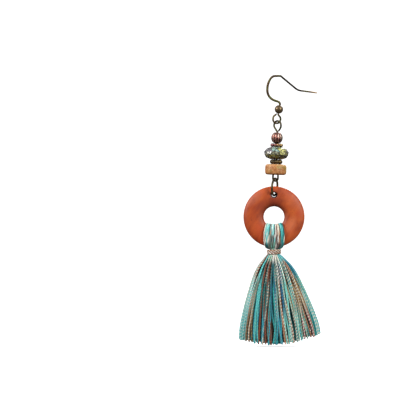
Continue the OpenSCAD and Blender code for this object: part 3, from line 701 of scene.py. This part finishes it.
BACK_PLANS = [
    "turq aqua/turq turq", "cream/teal sea/cream teal", "rust brown/rust rust/tan", "aqua turq teal/turq",
    "tan/cream gold/tan rust", "white/cream cream/deep aqua/turq", "teal deep/teal blue/teal",
    "taupe/mauve taupe mauve/cream", "navy/blue blue/teal turq", "sea/aqua turq/teal aqua",
    "rust/tan tan/cream cream", "blue/turq turq aqua/cream",
]
strands = random.Random(5)


def hem_share(angle):
    """Share of the skirt's length that a strand at this angle reaches, longest in the middle."""
    return 1 - 0.083 * math.cos(angle) ** 2 - 0.033 * math.cos(angle) - 0.008 * (1 + strands.uniform(-1, 1))


def strand_line(angle, layer, emerge, spacing, drift):
    """A strand from inside the tie to the hem. layer is its share of the way out, emerge its share at the neck."""
    outermost = layer > 0.9
    reach = hem_share(angle) * (1 if outermost else 0.993)
    phase, swing = strands.uniform(0, 6.28), strands.uniform(0.3, 1.0) * drift
    neck = 1.65 * MM * emerge
    turn = Vector((math.cos(angle), math.sin(angle), 0))
    axis = Vector((NECK_X, 0, 0))
    knots = [
        axis + turn * neck * 0.85 + UP * (TIE_LOW.z + 1.15 * MM),
        axis + turn * neck + UP * (TIE_LOW.z + 0.35 * MM),
    ]
    for down, wide, deep in SKIRT_LINE:
        spread = eased(down / 0.5)
        out = (emerge + (1 - emerge) * spread) * layer if outermost else layer * (0.6 + 0.4 * spread)
        way = angle + swing * math.sin(phase + 4.2 * down) * down / 9
        knots.append(axis + Vector((
            (wide * SKIRT_W / 2 - STRAND_D / 2) * out * math.cos(way) + SKIRT_SHIFT * down,
            (deep * SKIRT_T / 2 - STRAND_D / 2) * out * math.sin(way),
            SKIRT_TOP - 0.1 * MM - down * (reach * SKIRT_L - 0.1 * MM))))
    return smooth_line(knots, spacing)


OVAL_STEPS = 720


def around_hem(count):
    """Angles that space count strands evenly along the hem's oval, counted from the left edge round by the front."""
    steps = [(-math.pi + 2 * math.pi * k / OVAL_STEPS) for k in range(OVAL_STEPS + 1)]
    run = [0.0]
    for a, b in zip(steps, steps[1:]):
        wide, deep = (math.cos(b) - math.cos(a)) * SKIRT_W, (math.sin(b) - math.sin(a)) * SKIRT_T
        run.append(run[-1] + math.hypot(wide, deep))
    angles = []
    for i in range(count):
        goal, k = run[-1] * (i + 0.5) / count, 0
        while run[k + 1] < goal:
            k += 1
        angles.append(steps[k])
    return angles


OUTER = 132
EMERGE = [1.0, 0.55, 0.8, 0.4, 0.92, 0.65]
WORD_STOPS = (0.05, 0.2, 0.46, 0.9)
# Painted shade: of every three outer strands, two are darkened towards the deep teal by these shares
STRAND_SHADE_SHARES = (0.0, 0.26, 0.08)
skirt = {"skirt_strands": thread_mesh(), "skirt_back_strands": thread_mesh()}
for i, angle in enumerate(around_hem(OUTER)):
    front = math.sin(angle) < 0
    across = (math.cos(angle) + 1) / 2 + strands.uniform(-0.028, 0.028)
    lots = [lot for limit, lot in FRONT_YARNS if across < limit] or [FRONT_YARNS[-1][1]]
    yarns = lots[0] if front else BACK_PLANS
    plan = yarns[(i + strands.randrange(2)) % len(yarns)]
    sideways = abs(math.cos(angle))
    emerge = 1.0 if sideways > 0.93 else EMERGE[i % len(EMERGE)]
    line = strand_line(angle, 1.0, emerge, 0.225 * MM, 0.35 if sideways > 0.8 else 1.0)
    thick = STRAND_D * strands.uniform(0.94, 1.08)
    colours = dyed(plan, STRAND_SHADE_SHARES[i % 3], WORD_STOPS if front else None)
    lay_thread(skirt["skirt_strands" if front else "skirt_back_strands"], line, thick, colours,
               strands.uniform(1.1, 1.5) * MM, 0.66, 8, strands.uniform(0, 6), lambda t: 0.66 + 0.34 * eased(t / 0.3))
for name, bm in skirt.items():
    thread_piece(name, bm, strand_thread, "pendant", "tassel_skirt")

INNER_LAYERS = ((0.88, 84), (0.7, 54), (0.48, 34), (0.22, 14))
# Painted shade: the inner strands are darkened towards the deep teal
inner_bm = thread_mesh()
for layer, count in INNER_LAYERS:
    for i, angle in enumerate(around_hem(count)):
        line = strand_line(angle + strands.uniform(-0.05, 0.05), layer, 0.7 * layer + 0.2, 0.55 * MM, 1.4)
        lay_thread(inner_bm, line, STRAND_D * 1.1, dyed(strands.choice(BACK_PLANS), 0.4), 2.0 * MM, 0.62, 6,
                   strands.uniform(0, 6), lambda t: 0.6 + 0.4 * eased(t / 0.3))
thread_piece("skirt_inner_strands", inner_bm, strand_thread, "pendant", "tassel_skirt")

# The band: threads through the ring's eye, over its lower rim and down both faces
RING_R, RING_EYE_R, RING_T = 12.5 * MM, 4.2 * MM, 3.4 * MM
SECTION_R, SECTION_HALF_W = (RING_R + RING_EYE_R) / 2, (RING_R - RING_EYE_R) / 2
BAND_W = 8.9 * MM
# Degrees round the ring's section from its eye, and the band's share of its width there
BAND_LINE = [(0, 0.68), (20, 0.73), (42, 0.82), (66, 0.94), (90, 1.0), (116, 1.0), (140, 0.93)]
BAND_PLANS = [
    "cream white cream", "aqua cream/navy navy/deep", "aqua/white aqua teal/navy", "aqua aqua/white taupe/teal",
    "deep/teal cream/taupe taupe", "tan/mauve taupe/mauve taupe/deep", "aqua/mauve deep/taupe taupe/sea",
    "white/aqua mauve/taupe taupe/deep", "aqua mauve/deep sea/taupe", "brown/deep white/aqua taupe/sea",
    "white white/brown white/taupe", "brown/rust mauve/brown brown/mauve", "cream cream/white brown",
    "cream/tan tan/brown brown/deep", "deep deep mauve/deep", "turq/aqua turq teal/mauve", "turq turq/teal teal/deep",
    "deep/teal deep/cream deep/sea",
]
BAND_THREAD_D = 0.66 * MM


def on_section(offset, turn):
    """Across and deep on the ring's rounded section, offset outwards, turn degrees round from the eye."""
    c, s = math.cos(math.radians(turn)), math.sin(math.radians(turn))
    halves = ((SECTION_HALF_W, c), (RING_T / 2, s))
    return [(half + offset) * math.copysign(abs(v) ** (2 / 2.3), v) for half, v in halves]


def band_lift(share, turn):
    """How far the middle of an outer thread lies off the wood: its top edge in the eye is nearly level."""
    eye = 1.02 - 0.62 * abs(share) ** 1.7
    face = 0.98 - 0.42 * share ** 4
    return eye + (face - eye) * eased(turn / 55)


def band_line(share, layer):
    """A band thread at share of the width, from the neck up the front, through the eye and down the back."""
    def face(side):
        knots = []
        for turn, spread in BAND_LINE:
            lift = band_lift(share, turn) if layer == 0 else 0.56 - 0.1 * share * share
            across, deep = on_section(lift * MM, turn)
            x, r = share * (spread * BAND_W / 2 - 0.1 * MM), SECTION_R - across
            knots.append(RING_AT + Vector((x, side * deep, -math.sqrt(r * r - x * x))))
        bow = math.sqrt(max(0.0, 1 - share * share))
        gathered = side * (0.75 + (0.75 - 0.3 * layer) * bow) * MM
        knots.append(Vector((RING_AT.x + share * 3.3 * MM, gathered, TIE_HIGH.z + 0.45 * MM)))
        neck = Vector((NECK_X + share * 1.6 * MM, side * (0.35 + 1.2 * bow) * MM, 0))
        knots.append(neck + UP * (TIE_HIGH.z - 0.15 * MM))
        knots.append(neck + UP * (TIE_HIGH.z - 1.0 * MM))
        return knots
    return smooth_line(face(-1)[::-1] + face(1)[1:], 0.4 * MM)


# Painted shade: the under layer of band threads is darkened towards the deep teal
band_bm = thread_mesh()
for layer in (0, 1):
    for i, plan in enumerate(BAND_PLANS[layer:]):
        share = (2 * (i + 0.5 * (1 + layer)) / len(BAND_PLANS) - 1) * 0.98
        words = plan.split()
        up, down = [words[2]] + words[::-1], words + [words[2]]
        colours = dyed(" ".join(up + words[:1] + words[:1] + down), 0.45 * layer)
        slim = 0.3 * abs(share) ** 3
        lay_thread(band_bm, band_line(share, layer), BAND_THREAD_D * (1 - slim / 2), colours, 6 * MM, 0.76, 10,
                   strands.uniform(0, 6), lambda t: 1 - slim * (1 - eased(abs(t - 0.5) / 0.2)))
thread_piece("ring_band_threads", band_bm, band_thread, "pendant", "tassel_band")

# The tie: one thick twisted thread, wound from a start at the back to an end at the back
TIE_R, TIE_D, TIE_THREAD_D = 2.5 * MM, 0.85 * MM, 0.9 * MM
TIE_TURNS, TIE_KNOTS = 3, 24
TIE_PLAN = ("pink/rust white/rust pink/brown cream/rust white/rust cream/brown white/rust pink/brown cream/rust "
            "pink/brown")
tie_knots = []
for k in range(TIE_KNOTS * TIE_TURNS + 1):
    turn = math.pi / 2 + 2 * math.pi * k / TIE_KNOTS
    height = TIE_LOW.z + TIE_D / 2 + (TIE_HIGH.z - TIE_LOW.z - TIE_D) * k / (TIE_KNOTS * TIE_TURNS)
    tie_knots.append(Vector((NECK_X + TIE_R * math.cos(turn), TIE_R * math.sin(turn), height)))
tie_bm = thread_mesh()
lay_thread(tie_bm, smooth_line(tie_knots, 0.16 * MM), TIE_THREAD_D, dyed(TIE_PLAN), 1.35 * MM, 0.6, 12)
thread_piece("tie_thread_wound", tie_bm, tie_thread, "pendant", "tassel_tie")

# Stage and lights -------------------------------------------------------------------------------------------------
FLOOR_Z = -110.1 * MM
FLOOR_R, SWEEP_R, SWEEP_STEPS, WALL_H = 1.6, 0.8, 8, 1.6
bm = bmesh.new()
bmesh.ops.create_circle(bm, segments=96, radius=FLOOR_R, cap_ends=True)
rim = [e for e in bm.edges if e.is_boundary]
for k in range(1, SWEEP_STEPS + 1):
    turn = math.pi / 2 * k / SWEEP_STEPS
    made = bmesh.ops.extrude_edge_only(bm, edges=rim)["geom"]
    verts = [v for v in made if isinstance(v, bmesh.types.BMVert)]
    for v in verts:
        v.co = Vector((v.co.x, v.co.y, 0)).normalized() * (FLOOR_R + SWEEP_R * math.sin(turn))
        v.co.z = SWEEP_R * (1 - math.cos(turn))
    rim = [e for e in made if isinstance(e, bmesh.types.BMEdge) and e.is_boundary]
made = bmesh.ops.extrude_edge_only(bm, edges=rim)["geom"]
bmesh.ops.translate(bm, vec=(0, 0, WALL_H), verts=[v for v in made if isinstance(v, bmesh.types.BMVert)])
bmesh.ops.translate(bm, vec=(0, 0, FLOOR_Z), verts=bm.verts[:])
bmesh.ops.recalc_face_normals(bm, faces=bm.faces[:])
bmesh.ops.reverse_faces(bm, faces=bm.faces[:])
floor_paint = Paint("pale_floor", Base_Color=(0.86, 0.86, 0.86, 1), Roughness=0.3,
                    Emission_Color=(1, 1, 1, 1), Emission_Strength=0.75)
floor_mesh = bpy.data.meshes.new("floor_sweep")
bm.to_mesh(floor_mesh)
bm.free()
floor_mesh.shade_smooth()
floor_mesh.materials.append(floor_paint.material)
floor = bpy.data.objects.new("floor_sweep", floor_mesh)
bpy.context.scene.collection.objects.link(floor)
floor.visible_glossy = False
floor.visible_diffuse = False

# The room is bright above and darker below
studio = bpy.data.worlds.new("studio")
studio.use_nodes = True
bpy.context.scene.world = studio
room = Nodes(studio.node_tree)
background = room.tree.nodes["Background"]
height = room.node("SeparateXYZ", None, {0: room.node("TexCoord", output="Generated")}, "Z")
room.feed(background.inputs["Color"], room.ramp(height * 0.5 + 0.5, [
    (0.2, (0.2, 0.2, 0.21, 1)), (0.48, (0.4, 0.4, 0.41, 1)), (0.6, (0.8, 0.8, 0.82, 1)), (0.9, (1, 1, 1, 1)),
]))
background.inputs["Strength"].default_value = 0.52


EARRING_MIDDLE = Vector((0, 0, -0.055))


def softbox(name, place, size, power):
    """A rectangular lamp that faces the earring's middle."""
    data = bpy.data.lights.new(name, "AREA")
    data.shape, data.size, data.size_y, data.energy = "RECTANGLE", size[0], size[1], power
    lamp = bpy.data.objects.new(name, data)
    lamp.location = place
    lamp.rotation_euler = (EARRING_MIDDLE - Vector(place)).to_track_quat("-Z", "Y").to_euler()
    bpy.context.scene.collection.objects.link(lamp)


softbox("key", (-0.85, -0.4, 0.45), (0.5, 0.5), 11)
softbox("fill", (0.6, -0.55, 0.3), (0.35, 0.5), 6.8)
softbox("rim", (0.2, 0.7, 0.5), (0.5, 0.3), 5)

bpy.context.view_layer.update()
